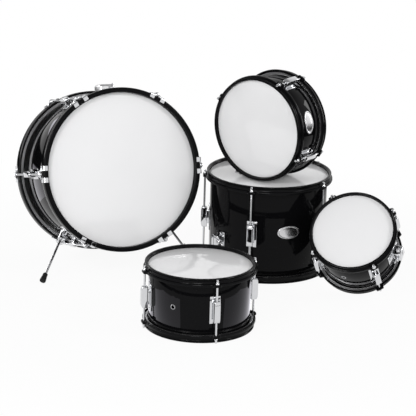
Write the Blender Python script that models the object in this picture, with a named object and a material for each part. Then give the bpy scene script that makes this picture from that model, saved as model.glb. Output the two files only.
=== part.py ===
"""Junior drum kit: bass drum, floor tom, two small toms and a shallow front drum.

The kit stands as it does when it is unpacked for a picture. The floor tom and the
front drum stand upright, the bass drum leans back on its rear hoop and two spurs,
one small tom lies on its side on the floor tom's head, and the other leans with its
lower hoop against one of the floor tom's lugs.

Every drum is built in its own frame, with its axis along +Z, z = 0 at its lower (or
rear) rim and its playing head at the other end, and is then placed in the kit.
A clock angle goes clockwise from 12 o'clock as a viewer facing the head sees it; on
an upright drum 6 o'clock faces the front of the kit (-Y).

All sizes are in metres.
"""

import math
from collections import namedtuple

import bmesh
import bpy
from mathutils import Matrix, Vector

# Gap kept between pieces that touch
CLEAR = 0.0003

# Where the floor tom's axis stands, so that the kit's box is centred on the origin
KIT_X, KIT_Y = 0.17056, 0.18946

# Drum sizes: shell radius, height over both rims, shell wall
BASS_RADIUS, BASS_HEIGHT, BASS_WALL = 0.2030, 0.2705, 0.0065
FLOOR_RADIUS, FLOOR_HEIGHT = 0.1570, 0.2660
TEN_INCH_RADIUS, TOP_HEIGHT, FRONT_HEIGHT = 0.1278, 0.1275, 0.1650
EIGHT_INCH_RADIUS, SIDE_HEIGHT = 0.1020, 0.1550
TOM_WALL = 0.0055

# Where the other drums stand, seen from the floor tom's axis, and how they face. A gap
# runs from shell to shell, or for the leaning tom from the floor tom's lug to its axis.
FRONT_ACROSS, FRONT_GAP = -0.1766, 0.1934
BASS_GAP, BASS_BACK, BASS_TURN, BASS_LEAN = 0.1236, 0.1494, 21.60, 15.80
TOP_PLACE, TOP_TURN = (0.0353, 0.0199), -36.9
SIDE_BEARING, SIDE_GAP, SIDE_TURN, SIDE_LEAN = -31.588, 0.10617, -16.45, 43.43

# Heads
HEAD_THICKNESS = 0.0005
RIM_RISE = 0.0085             # rim above the head on a tom
BASS_RIM_RISE = 0.0160        # hoop ahead of the head on the bass drum
FLESH_HEIGHT = 0.0065         # ring that holds the head's edge
FLESH_DEPTH = 0.0043          # from the head down to that ring, tom
BEARING_BEVEL = 0.0025        # sloping edge of the shell under the head

# Triple-flanged tom hoop, measured out from the shell
HOOP_INNER, HOOP_LIP, HOOP_NECK, HOOP_LIP_HEIGHT = 0.0033, 0.0083, 0.0060, 0.0040
HOOP_SKIRT_INNER, HOOP_SKIRT_OUTER = 0.0072, 0.0093
HOOP_FLANGE, HOOP_EAR = 0.0142, 0.0205
HOOP_HEIGHT, HOOP_FLANGE_THICKNESS = 0.0256, 0.0026
EAR_WIDTH = 0.0230

# Bass drum hoop, measured out from the shell
BASS_HOOP_INNER, BASS_HOOP_OUTER, BASS_HOOP_WIDTH = 0.0020, 0.0146, 0.0300
BASS_HOOP_STEP = 0.0088       # inner face of the part that reaches past the flesh ring
BASS_PRESS = 0.0022           # from the head down to where the hoop presses on its ring

# Double-ended lug and its two tension rods
LUG_WIDTH, LUG_HEIGHT, LUG_DEPTH, LUG_STANDOFF = 0.0170, 0.0500, 0.0160, 0.0068
LUG_BEVEL = 0.0030
PLATE_WIDTH, PLATE_HEIGHT, PLATE_THICKNESS = 0.0270, 0.0630, 0.0026
LUG_POST_WIDTH, LUG_POST_HEIGHT = 0.0120, 0.0380
ROD_RADIUS, ROD_SIDES = 0.0026, 6
ROD_OUT = LUG_STANDOFF + LUG_DEPTH / 2
KEY_FLARE, KEY_RADIUS, KEY_HEIGHT = 0.0054, 0.0036, 0.0095
EAR_HOLE_RADIUS = ROD_RADIUS + 0.0008

# Bass drum claws: two fingers over the hoop and a bridge that takes the rod
CLAW_SPREAD, FINGER_WIDTH, CLAW_METAL = 0.0310, 0.0130, 0.0022
FINGER_REACH, CLAW_LENGTH, CLAW_NOSE_WIDTH = 0.0130, 0.0200, 0.0110
BASS_ROD_OUT = 0.0205
BASS_LUG_DEPTH = 0.0200

# Brackets, each fused with its shell: base (width, height), block (width, height)
BRACKET_BASE, BRACKET_REACH = 0.0030, 0.0250
BRACKET_SIZE, BRACKET_BLOCK, LEG_HOLE_RADIUS = (0.0320, 0.0460), (0.0230, 0.0300), 0.0055
LEG_BRACKET_Z, LEG_BRACKET_CLOCKS = 0.0980, (232.5, 112.5, 352.5)
SCREW_RADIUS, SCREW_COLLAR_RADIUS, SCREW_COLLAR = 0.0030, 0.0055, 0.0050
WING_SPAN, WING_HEIGHT, WING_THICKNESS = 0.0250, 0.0115, 0.0030

# Spurs
SPUR_CLOCKS, SPUR_Z, SPUR_OUT = (222.5, 137.5), 0.1650, 0.0190
SPUR_ROD_RADIUS, SPUR_ROD_PAST = 0.0034, 0.0300
SPUR_FEET = ((-0.1104, -0.3719), (0.3046, -0.2014))     # seen from the bass drum's place
SPUR_NECK_RADIUS, SLEEVE_RADIUS, SLEEVE_LENGTH = 0.0072, SPUR_ROD_RADIUS + 0.0050, 0.0280
SPUR_SCREW_TILT = 0.45        # share of the wing screw's direction that points off the shell
FOOT_RADIUS, FOOT_LENGTH, FOOT_GRIP = 0.0082, 0.0260, 0.0200

# Tom holder socket on top of the bass drum
HOLDER_CLOCK, HOLDER_Z = 2.0, 0.1380
HOLDER_WIDTH, HOLDER_LENGTH, HOLDER_HEIGHT = 0.0440, 0.0500, 0.0280
HOLDER_BASE, HOLDER_FLANGE = 0.0050, 0.0080
HOLDER_HOLE_RADIUS, HOLDER_SLIT = 0.0112, 0.0022

# Mounts of the two small toms, for the holder's L-shaped arms
SIDE_MOUNT_CLOCK, TOP_MOUNT_CLOCK = 96.6, 250.5
MOUNT_SIZE, MOUNT_BLOCK, MOUNT_HOLE_RADIUS = (0.0640, 0.0460), (0.0280, 0.0340), 0.0062
PLATE_STEP = 0.0160           # width of the flats that bend a bracket's base round the shell

# Air vents
VENT_RADIUS, VENT_SIDES = 0.0045, 8
VENT_CLOCKS = {"front_drum": 210.0, "side_tom": 187.5, "top_tom": 160.5, "floor_tom": 271.5,
               "bass": 61.2}

# Facets between two lugs, beside the flat that each lug stands on
TEN_INCH_FACETS, EIGHT_INCH_FACETS, FLOOR_FACETS, BASS_FACETS = 5, 4, 4, 4

Drum = namedtuple("Drum", "name radius height wall lugs first_clock facets rise matrix")
Finish = namedtuple("Finish", "colour roughness metallic")

FINISHES = {
    "black_lacquer": Finish((0.010, 0.010, 0.012), 0.12, 0.0),
    "black_hoop": Finish((0.012, 0.012, 0.013), 0.28, 0.6),
    "head_film": Finish((0.80, 0.80, 0.80), 0.45, 0.0),
    "chrome": Finish((0.75, 0.75, 0.76), 0.12, 1.0),
    "black_rubber": Finish((0.015, 0.015, 0.015), 0.70, 0.0),
}


def clear_scene():
    for old in list(bpy.data.objects):
        bpy.data.objects.remove(old, do_unlink=True)


def material(name):
    found = bpy.data.materials.get(name)
    if found:
        return found
    finish = FINISHES[name]
    made = bpy.data.materials.new(name)
    made.use_nodes = True
    shader = made.node_tree.nodes["Principled BSDF"]
    shader.inputs["Base Color"].default_value = (*finish.colour, 1.0)
    shader.inputs["Roughness"].default_value = finish.roughness
    shader.inputs["Metallic"].default_value = finish.metallic
    return made


def new_object(name, mesh, finish=None, matrix=None):
    thing = bpy.data.objects.new(name, mesh)
    bpy.context.collection.objects.link(thing)
    if finish:
        mesh.materials.clear()
        mesh.materials.append(material(finish))
        mesh.shade_smooth()
        mesh.set_sharp_from_angle(angle=math.radians(35))
    if matrix is not None:
        thing.matrix_world = matrix
    return thing


def closed_mesh(name, points, faces):
    mesh = bpy.data.meshes.new(name)
    mesh.from_pydata(points, [], faces)
    work = bmesh.new()
    work.from_mesh(mesh)
    bmesh.ops.recalc_face_normals(work, faces=work.faces)
    work.to_mesh(mesh)
    work.free()
    return mesh


# Drum frames and ring shapes

def facing(turn, lean):
    """Axes of a drum whose head turns to the viewer's right and leans up, in degrees."""
    turn, lean = math.radians(turn), math.radians(lean)
    axis = Vector((math.cos(lean) * math.sin(turn), -math.cos(lean) * math.cos(turn), math.sin(lean)))
    across = Vector((math.cos(turn), math.sin(turn), 0.0))
    up = axis.cross(across)
    frame = Matrix((across, up, axis)).transposed()
    return frame.to_4x4()


def clock_direction(clock):
    angle = math.radians(clock)
    return Vector((math.sin(angle), math.cos(angle), 0.0))


def clock_turn(clock):
    """Turns +X of a drum's frame to the given clock angle."""
    return Matrix.Rotation(math.radians(90.0 - clock), 4, "Z")


def ear_half_angle(radius):
    return math.degrees(math.asin(EAR_WIDTH / 2 / radius))


def ring_clocks(drum):
    """Clock angles of a drum's facets: both edges of each lug's flat, and even steps between."""
    pitch = 360.0 / drum.lugs
    half = ear_half_angle(drum.radius)
    step = (pitch - 2 * half) / drum.facets
    clocks = []
    for lug in range(drum.lugs):
        centre = drum.first_clock + lug * pitch
        clocks.append((centre - half, True))
        clocks += [(centre + half + k * step, k == 0) for k in range(drum.facets)]
    return clocks


def revolve(name, drum, profile, ear_reach=None, capped=False):
    """Turn a profile of (radius, z) points round a drum's facets.

    A third value in a point marks it as a flange edge, which runs out to ear_reach at
    the lugs. A capped profile starts and ends on the drum's axis and is a solid disc;
    any other profile is a closed section.
    """
    clocks = ring_clocks(drum)
    count = len(profile)
    points = []
    for clock, at_lug in clocks:
        ray = clock_direction(clock)
        for entry in profile:
            reach = ear_reach if (len(entry) == 3 and at_lug) else entry[0]
            points.append((ray.x * reach, ray.y * reach, entry[1]))
    faces = []
    turns = len(clocks)
    bands = count - 1 if capped else count
    for turn in range(turns):
        here, there = turn * count, (turn + 1) % turns * count
        for k in range(bands):
            nxt = (k + 1) % count
            faces.append((here + k, here + nxt, there + nxt, there + k))
    if capped:
        faces.append([turn * count for turn in range(turns)])
        faces.append([turn * count + count - 1 for turn in range(turns)])
    return closed_mesh(name, points, faces)


def from_end(drum, at_head):
    """Reads a depth from the rim: from the head's end, or from the other end."""
    if at_head:
        return lambda depth: drum.height - depth
    return lambda depth: depth


# Solid helpers for the fused hardware

def block(size, centre, bevel=0.0):
    work = bmesh.new()
    bmesh.ops.create_cube(work, size=1.0)
    bmesh.ops.scale(work, vec=size, verts=work.verts)
    if bevel:
        bmesh.ops.bevel(work, geom=work.edges[:], offset=bevel, segments=1, affect="EDGES")
    bmesh.ops.translate(work, vec=centre, verts=work.verts)
    mesh = bpy.data.meshes.new("block")
    work.to_mesh(mesh)
    work.free()
    return mesh


def span(x, y, z, bevel=0.0):
    """A block between two limits on each axis."""
    size = (x[1] - x[0], y[1] - y[0], z[1] - z[0])
    centre = ((x[0] + x[1]) / 2, (y[0] + y[1]) / 2, (z[0] + z[1]) / 2)
    return block(size, centre, bevel)


def bar(start, end, radius, sides, end_radius=None):
    """A round bar, or a cone, between two points."""
    start, end = Vector(start), Vector(end)
    along = end - start
    work = bmesh.new()
    bmesh.ops.create_cone(work, cap_ends=True, segments=sides, radius1=radius,
                          radius2=radius if end_radius is None else end_radius, depth=along.length)
    turn = Vector((0, 0, 1)).rotation_difference(along.normalized()).to_matrix().to_4x4()
    bmesh.ops.transform(work, matrix=Matrix.Translation((start + end) / 2) @ turn, verts=work.verts)
    mesh = bpy.data.meshes.new("bar")
    work.to_mesh(mesh)
    work.free()
    return mesh


def combine(base, joined=(), cut=()):
    """Fuse meshes onto a base mesh, then cut others out of it."""
    body = new_object("work_body", base)
    tools = []
    for operation, meshes in (("UNION", joined), ("DIFFERENCE", cut)):
        for mesh in meshes:
            tool = new_object("work_tool", mesh)
            tool.hide_render = True
            tool.display_type = "WIRE"
            step = body.modifiers.new(operation, "BOOLEAN")
            step.operation = operation
            step.solver = "EXACT"
            step.object = tool
            tools.append(tool)
    depsgraph = bpy.context.evaluated_depsgraph_get()
    mesh = bpy.data.meshes.new_from_object(body.evaluated_get(depsgraph))
    for spent in [body, *tools]:
        bpy.data.objects.remove(spent, do_unlink=True)
    work = bmesh.new()
    work.from_mesh(mesh)
    bmesh.ops.dissolve_limit(work, angle_limit=math.radians(0.5), verts=work.verts, edges=work.edges)
    work.to_mesh(mesh)
    work.free()
    return mesh


# Pieces that every drum has

def make_shell(drum, extra=(), cut=()):
    edge = drum.rise + HEAD_THICKNESS + CLEAR
    inner = drum.radius - drum.wall
    low, high = edge, drum.height - edge
    profile = [(drum.radius, low + BEARING_BEVEL), (drum.radius, high - BEARING_BEVEL),
               (drum.radius - BEARING_BEVEL, high), (inner, high),
               (inner, low), (drum.radius - BEARING_BEVEL, low)]
    mesh = revolve(drum.name + "_shell", drum, profile)
    ray = clock_direction(VENT_CLOCKS[drum.name])
    middle = Vector((0, 0, drum.height / 2))
    vent = bar(ray * (inner - drum.wall) + middle, ray * (drum.radius + drum.wall) + middle,
               VENT_RADIUS, VENT_SIDES)
    mesh = combine(mesh, joined=extra, cut=[vent, *cut])
    new_object(drum.name + "_shell", mesh, "black_lacquer", drum.matrix)


def make_head(drum, name, at_head, flesh_depth, hoop_inner, flesh_outer):
    """Film, collar over the bearing edge, and the ring that the hoop pulls down."""
    depth = from_end(drum, at_head)
    collar = drum.radius + 2 * CLEAR
    film_edge = drum.radius + hoop_inner - 2 * CLEAR
    top = drum.rise
    profile = [(film_edge, top), (film_edge, top + flesh_depth),
               (flesh_outer, top + flesh_depth), (flesh_outer, top + flesh_depth + FLESH_HEIGHT),
               (collar, top + flesh_depth + FLESH_HEIGHT), (collar, top + HEAD_THICKNESS)]
    profile = [(radius, depth(z)) for radius, z in profile]
    new_object(name, revolve(name, drum, profile, capped=True), "head_film", drum.matrix)


def ear_hole(drum, clock):
    ray = clock_direction(clock) * (drum.radius + ROD_OUT)
    low, high = HOOP_HEIGHT - 3 * HOOP_FLANGE_THICKNESS, HOOP_HEIGHT + 2 * HOOP_FLANGE_THICKNESS
    return ray, low, high


def lug_clocks(drum):
    return [drum.first_clock + lug * 360.0 / drum.lugs for lug in range(drum.lugs)]


def make_tom_hoop(drum, at_head):
    """Triple-flanged hoop: rolled lip, step over the head's ring, and ears for the rods."""
    depth = from_end(drum, at_head)
    step = RIM_RISE + FLESH_DEPTH
    flange = HOOP_HEIGHT - HOOP_FLANGE_THICKNESS
    section = [(HOOP_INNER, 0.0), (HOOP_LIP, 0.0), (HOOP_NECK, HOOP_LIP_HEIGHT),
               (HOOP_SKIRT_OUTER, step), (HOOP_SKIRT_OUTER, flange),
               (HOOP_FLANGE, flange, True), (HOOP_FLANGE, HOOP_HEIGHT, True),
               (HOOP_SKIRT_INNER, HOOP_HEIGHT), (HOOP_SKIRT_INNER, step - CLEAR),
               (HOOP_INNER, step - CLEAR)]
    profile = [(drum.radius + entry[0], depth(entry[1]), *entry[2:]) for entry in section]
    name = f"{drum.name}_{'top' if at_head else 'bottom'}_hoop"
    mesh = revolve(name, drum, profile, ear_reach=(drum.radius + HOOP_EAR))
    holes = []
    for clock in lug_clocks(drum):
        ray, low, high = ear_hole(drum, clock)
        holes.append(bar(ray + Vector((0, 0, depth(low))), ray + Vector((0, 0, depth(high))),
                         EAR_HOLE_RADIUS, ROD_SIDES))
    new_object(name, combine(mesh, cut=holes), "black_hoop", drum.matrix)


def flat_radius(drum):
    """Distance from the axis to the flat that a lug stands on."""
    return drum.radius * math.cos(math.radians(ear_half_angle(drum.radius)))


def extruded(outline, width, shift=0.0):
    """A solid of the given width across Y, from an outline of (x, z) points."""
    count = len(outline)
    points = [(x, shift - width / 2, z) for x, z in outline] + [(x, shift + width / 2, z) for x, z in outline]
    faces = [list(range(count)), list(range(count, 2 * count))]
    for k in range(count):
        nxt = (k + 1) % count
        faces.append((k, nxt, count + nxt, count + k))
    return closed_mesh("extruded", points, faces)


def slab(outline, low, high):
    """A solid between two heights, from an outline of (x, y) points."""
    count = len(outline)
    points = [(x, y, z) for z in (low, high) for x, y in outline]
    faces = [list(range(count)), list(range(count, 2 * count))]
    for k in range(count):
        nxt = (k + 1) % count
        faces.append((k, nxt, count + nxt, count + k))
    return closed_mesh("slab", points, faces)


def curved_plate(drum, width, low, high):
    """A plate that follows the shell round, sunk into its wall."""
    half, steps = width / 2 / drum.radius, round(width / PLATE_STEP)
    angles = [-half + 2 * half * k / steps for k in range(steps + 1)]
    outline = [(radius * math.cos(angle), radius * math.sin(angle))
               for radius, turn in ((drum.radius + BRACKET_BASE, angles), (drum.radius - drum.wall / 2, angles[::-1]))
               for angle in turn]
    return slab(outline, low, high)


def lug_casing(drum, depth):
    """Casing with chamfered ends, its post and its base plate, with +X pointing away from the shell."""
    seat = flat_radius(drum) + CLEAR
    inner = drum.radius + LUG_STANDOFF
    outer = inner + depth
    middle, half = drum.height / 2, LUG_HEIGHT / 2
    casing = extruded([(inner, middle - half), (outer - LUG_BEVEL, middle - half),
                       (outer, middle - half + 2 * LUG_BEVEL), (outer, middle + half - 2 * LUG_BEVEL),
                       (outer - LUG_BEVEL, middle + half), (inner, middle + half)], LUG_WIDTH)
    plate = span((seat, seat + PLATE_THICKNESS), (-PLATE_WIDTH / 2, PLATE_WIDTH / 2),
                 (middle - PLATE_HEIGHT / 2, middle + PLATE_HEIGHT / 2))
    post = span((seat + PLATE_THICKNESS / 2, inner + LUG_BEVEL), (-LUG_POST_WIDTH / 2, LUG_POST_WIDTH / 2),
                (middle - LUG_POST_HEIGHT / 2, middle + LUG_POST_HEIGHT / 2))
    return casing, [plate, post]


def make_tom_lugs(drum):
    """Each lug carries two tension rods, whose flared keys press on the hoops' ears."""
    casing, pieces = lug_casing(drum, LUG_DEPTH)
    out = drum.radius + ROD_OUT
    key_seat = HOOP_HEIGHT - HOOP_FLANGE_THICKNESS - CLEAR
    low, high = key_seat - KEY_HEIGHT / 2, drum.height - key_seat + KEY_HEIGHT / 2
    pieces.append(bar((out, 0, low), (out, 0, high), ROD_RADIUS, ROD_SIDES))
    for at_head in (True, False):
        depth = from_end(drum, at_head)
        pieces.append(bar((out, 0, depth(key_seat)), (out, 0, depth(key_seat - KEY_HEIGHT)), KEY_FLARE,
                          ROD_SIDES, KEY_RADIUS))
    mesh = combine(casing, joined=pieces)
    for number, clock in enumerate(lug_clocks(drum), 1):
        new_object(f"{drum.name}_lug_{number}", mesh, "chrome", drum.matrix @ clock_turn(clock))


def make_tom(drum, shell_extra=(), shell_cut=()):
    make_shell(drum, shell_extra, shell_cut)
    flesh_outer = drum.radius + HOOP_SKIRT_INNER - 2 * CLEAR
    for at_head, side in ((True, "batter"), (False, "bottom")):
        make_head(drum, f"{drum.name}_{side}_head", at_head, FLESH_DEPTH, HOOP_INNER, flesh_outer)
        make_tom_hoop(drum, at_head)
    make_tom_lugs(drum)


# Bass drum

def make_bass_hoop(drum, name, at_head):
    """Plain band with a step inside that presses on the head's ring."""
    depth = from_end(drum, at_head)
    press = BASS_RIM_RISE + BASS_PRESS
    section = [(BASS_HOOP_INNER, 0.0), (BASS_HOOP_OUTER - 0.0015, 0.0), (BASS_HOOP_OUTER, 0.0020),
               (BASS_HOOP_OUTER, BASS_HOOP_WIDTH), (BASS_HOOP_STEP, BASS_HOOP_WIDTH),
               (BASS_HOOP_STEP, press), (BASS_HOOP_INNER, press)]
    profile = [(drum.radius + out, depth(z)) for out, z in section]
    new_object(name, revolve(name, drum, profile), "black_hoop", drum.matrix)


def claw(drum, depth):
    """Two fingers hooked over the hoop, a bridge between them, and the rod's bolt head."""
    inner = drum.radius + BASS_HOOP_OUTER + CLEAR
    outer = inner + CLAW_METAL
    tip = outer - FINGER_REACH
    front = -CLEAR - CLAW_METAL
    finger = [(tip, front), (outer, front), (outer, CLAW_LENGTH), (inner, CLAW_LENGTH),
              (inner, -CLEAR), (tip, -CLEAR)]
    finger = [(x, depth(z)) for x, z in finger]
    pieces = [extruded(finger, FINGER_WIDTH, side * CLAW_SPREAD / 2) for side in (-1, 1)]
    out = drum.radius + BASS_ROD_OUT
    bridge = (CLAW_LENGTH - 2 * CLAW_METAL, CLAW_LENGTH - CLAW_METAL)
    root, nose, tongue = CLAW_SPREAD / 2, CLAW_NOSE_WIDTH / 2, inner + CLAW_METAL / 3
    pieces.append(slab([(tongue, -root), (outer, -root), (out + KEY_FLARE, -nose), (out + KEY_FLARE, nose),
                        (outer, root), (tongue, root)], depth(bridge[0]), depth(bridge[1])))
    pieces.append(bar((out, 0, depth(sum(bridge) / 2)), (out, 0, depth(bridge[0] - KEY_HEIGHT * 0.7)),
                      KEY_FLARE, ROD_SIDES))
    return pieces


def make_bass_lugs(drum):
    casing, pieces = lug_casing(drum, BASS_LUG_DEPTH)
    out = drum.radius + BASS_ROD_OUT
    end = CLAW_LENGTH - CLAW_METAL * 1.5
    pieces.append(bar((out, 0, end), (out, 0, drum.height - end), ROD_RADIUS, ROD_SIDES))
    for at_head in (True, False):
        pieces += claw(drum, from_end(drum, at_head))
    mesh = combine(casing, joined=pieces)
    for number, clock in enumerate(lug_clocks(drum), 1):
        new_object(f"bass_lug_{number}", mesh, "chrome", drum.matrix @ clock_turn(clock))


# Wing screws, brackets and spurs

def wing_screw(name, start, direction, across, matrix):
    """A wing screw whose stem starts at a point and runs along a direction of a drum's frame."""
    direction = Vector(direction).normalized()
    across = Vector(across)
    across = (across - direction * across.dot(direction)).normalized()
    frame = Matrix((across, direction.cross(across), direction)).transposed().to_4x4()
    collar = bar((0, 0, 0), (0, 0, SCREW_COLLAR), SCREW_RADIUS, ROD_SIDES, SCREW_COLLAR_RADIUS)
    half, low, high = WING_SPAN / 2, SCREW_COLLAR * 0.6, SCREW_COLLAR * 1.2
    wings = [(-half, WING_HEIGHT), (-half * 0.5, low), (half * 0.5, low), (half, WING_HEIGHT),
             (half * 0.68, WING_HEIGHT + WING_THICKNESS), (half * 0.3, high), (-half * 0.3, high),
             (-half * 0.68, WING_HEIGHT + WING_THICKNESS)]
    mesh = combine(collar, joined=[extruded(wings, WING_THICKNESS)])
    place = matrix @ Matrix.Translation(start) @ frame
    new_object(name, mesh, "chrome", place)


def turned(meshes, clock):
    """Turn meshes drawn with +X outwards to a clock angle of their drum."""
    for mesh in meshes:
        mesh.transform(clock_turn(clock))
    return meshes


def clamp(drum, z, base_size, block_size, reach, hole_radius):
    """Bracket fused with the shell: base, block and the hole through the block for a rod."""
    half_block = (block_size[0] / 2, block_size[1] / 2)
    base = curved_plate(drum, base_size[0], z - base_size[1] / 2, z + base_size[1] / 2)
    body = span((drum.radius, drum.radius + reach), (-half_block[0], half_block[0]),
                (z - half_block[1], z + half_block[1]), LUG_BEVEL)
    hole_x = drum.radius + reach - LUG_BEVEL - hole_radius
    hole = bar((hole_x, 0, z - base_size[1]), (hole_x, 0, z + base_size[1]), hole_radius, 12)
    return [base, body], hole


def make_leg_brackets(drum):
    """Three clamps for the floor tom's legs, each with its wing screw."""
    joined, cut = [], []
    for number, clock in enumerate(LEG_BRACKET_CLOCKS, 1):
        solid, hole = clamp(drum, LEG_BRACKET_Z, BRACKET_SIZE, BRACKET_BLOCK, BRACKET_REACH,
                            LEG_HOLE_RADIUS)
        joined += turned(solid, clock)
        cut += turned([hole], clock)
        x = drum.radius + BRACKET_REACH - LUG_BEVEL - LEG_HOLE_RADIUS
        start = Vector((x, BRACKET_BLOCK[0] / 2 + CLEAR, LEG_BRACKET_Z))
        wing_screw(f"floor_tom_wing_screw_{number}", start, (0, 1, 0), (0.6, 0, 1),
                   drum.matrix @ clock_turn(clock))
    return joined, cut


def make_tom_mount(drum, clock):
    """Clamp for the holder's L-shaped arm, on a tom that hangs over the bass drum."""
    middle = drum.height / 2
    solid, hole = clamp(drum, middle, MOUNT_SIZE, MOUNT_BLOCK, BRACKET_REACH, MOUNT_HOLE_RADIUS)
    x = drum.radius + BRACKET_REACH - LUG_BEVEL - MOUNT_HOLE_RADIUS
    start = Vector((x, -MOUNT_BLOCK[0] / 2 - CLEAR, middle))
    wing_screw(f"{drum.name}_wing_screw", start, (0, -1, 0), (0.6, 0, 1), drum.matrix @ clock_turn(clock))
    return turned(solid, clock), turned([hole], clock)


def kit_point(x, y, z=0.0):
    return Vector((KIT_X + x, KIT_Y + y, z))


def make_spur(drum, side, clock, foot):
    """Sleeve fused with the shell, a sliding rod through it, a rubber foot, and a wing screw."""
    matrix = drum.matrix @ clock_turn(clock)
    grip = Vector((drum.radius + SPUR_OUT, 0, SPUR_Z))
    along = foot - matrix @ grip
    length = along.length
    along.normalize()
    tip_rise = FOOT_RADIUS * math.sqrt(1 - along.z ** 2)
    length -= tip_rise / -along.z
    rod_dir = matrix.to_3x3().inverted() @ along
    sunk = drum.radius - drum.wall / 2
    half_w, half_h = BRACKET_SIZE[0] / 2, BRACKET_SIZE[1] / 2
    base = span((sunk, drum.radius + BRACKET_BASE), (-half_w, half_w), (SPUR_Z - half_h, SPUR_Z + half_h))
    neck = bar((drum.radius, 0, SPUR_Z), grip, SPUR_NECK_RADIUS, 8)
    half_sleeve = rod_dir * SLEEVE_LENGTH / 2
    sleeve = bar(grip - half_sleeve, grip + half_sleeve, SLEEVE_RADIUS, 8)
    bore_radius = SPUR_ROD_RADIUS + CLEAR
    inwards = (SPUR_OUT + drum.wall + 2 * bore_radius) / rod_dir.x      # far enough to leave the shell's wall
    bore = bar(grip - rod_dir * inwards, grip + rod_dir * SPUR_ROD_PAST, bore_radius, 8)

    aim = Vector((0, 0, 1)).rotation_difference(along).to_matrix().to_4x4()
    rod_frame = Matrix.Translation(matrix @ grip) @ aim
    rod_end = length - FOOT_LENGTH + FOOT_GRIP
    rod = bar((0, 0, -SPUR_ROD_PAST), (0, 0, rod_end), SPUR_ROD_RADIUS, 8)
    new_object(f"bass_spur_rod_{side}", rod, "chrome", rod_frame)
    rubber = bar((0, 0, length - FOOT_LENGTH), (0, 0, length), FOOT_RADIUS * 0.78, 12, FOOT_RADIUS)
    socket = bar((0, 0, length - 2 * FOOT_LENGTH), (0, 0, rod_end + CLEAR), SPUR_ROD_RADIUS + CLEAR, 8)
    new_object(f"bass_spur_foot_{side}", combine(rubber, cut=[socket]), "black_rubber", rod_frame)

    outwards = (Vector((1, 0, 0)) - rod_dir * rod_dir.x).normalized()
    sideways = rod_dir.cross(outwards)
    if (matrix.to_3x3() @ sideways).z > 0:
        sideways.negate()
    screw_dir = (sideways + SPUR_SCREW_TILT * outwards).normalized()
    wing_screw(f"bass_spur_wing_screw_{side}", grip + screw_dir * (SLEEVE_RADIUS + CLEAR), screw_dir,
               rod_dir, matrix)
    return turned([base, neck, sleeve], clock), turned([bore], clock)


def make_tom_holder(drum):
    """Socket for the toms' post: a split block with a hole down to the shell, and a wing screw."""
    top = drum.radius + HOLDER_HEIGHT
    half_w, half_l = HOLDER_WIDTH / 2, HOLDER_LENGTH / 2
    base = span((drum.radius - drum.wall / 2, drum.radius + BRACKET_BASE), (-half_w - HOLDER_FLANGE, half_w),
                (HOLDER_Z - half_l - HOLDER_FLANGE, HOLDER_Z + half_l + HOLDER_FLANGE))
    body = span((drum.radius, top), (-half_w, half_w), (HOLDER_Z - half_l, HOLDER_Z + half_l), LUG_BEVEL)
    hole = bar((drum.radius + BRACKET_BASE, 0, HOLDER_Z), (top + HOLDER_BASE, 0, HOLDER_Z),
               HOLDER_HOLE_RADIUS, 12)
    slit = span((drum.radius + 2 * BRACKET_BASE, top + HOLDER_BASE), (-half_w - HOLDER_BASE, 0.0),
                (HOLDER_Z - HOLDER_SLIT / 2, HOLDER_Z + HOLDER_SLIT / 2))
    start = Vector((drum.radius + HOLDER_HEIGHT * 0.62, -half_w / 2, HOLDER_Z + half_l + CLEAR))
    wing_screw("bass_holder_wing_screw", start, (0, 0, 1), (1, 0, 0), drum.matrix @ clock_turn(HOLDER_CLOCK))
    return turned([base, body], HOLDER_CLOCK), turned([hole, slit], HOLDER_CLOCK)


def lowest_reach(lugs, first_clock, facets, base_radius, radius, ear=None):
    """How far a ring's facets reach towards 6 o'clock, with another radius at its ears."""
    probe = Drum("probe", base_radius, 0, 0, lugs, first_clock, facets, 0, None)
    return max((ear if ear and at_lug else radius) * -clock_direction(clock).y
               for clock, at_lug in ring_clocks(probe))


def lowest_lug(lugs, first_clock, radius):
    """How far the corners of a drum's lug casings reach towards 6 o'clock."""
    face = radius + LUG_STANDOFF + LUG_DEPTH
    probe = Drum("probe", radius, 0, 0, lugs, first_clock, 0, 0, None)
    rays = [clock_direction(clock) for clock in lug_clocks(probe)]
    return max(-face * ray.y + LUG_WIDTH / 2 * abs(ray.x) for ray in rays)


def place(xy, turn, lean, centre_z):
    return Matrix.Translation(kit_point(*xy, centre_z)) @ facing(turn, lean)


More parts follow.
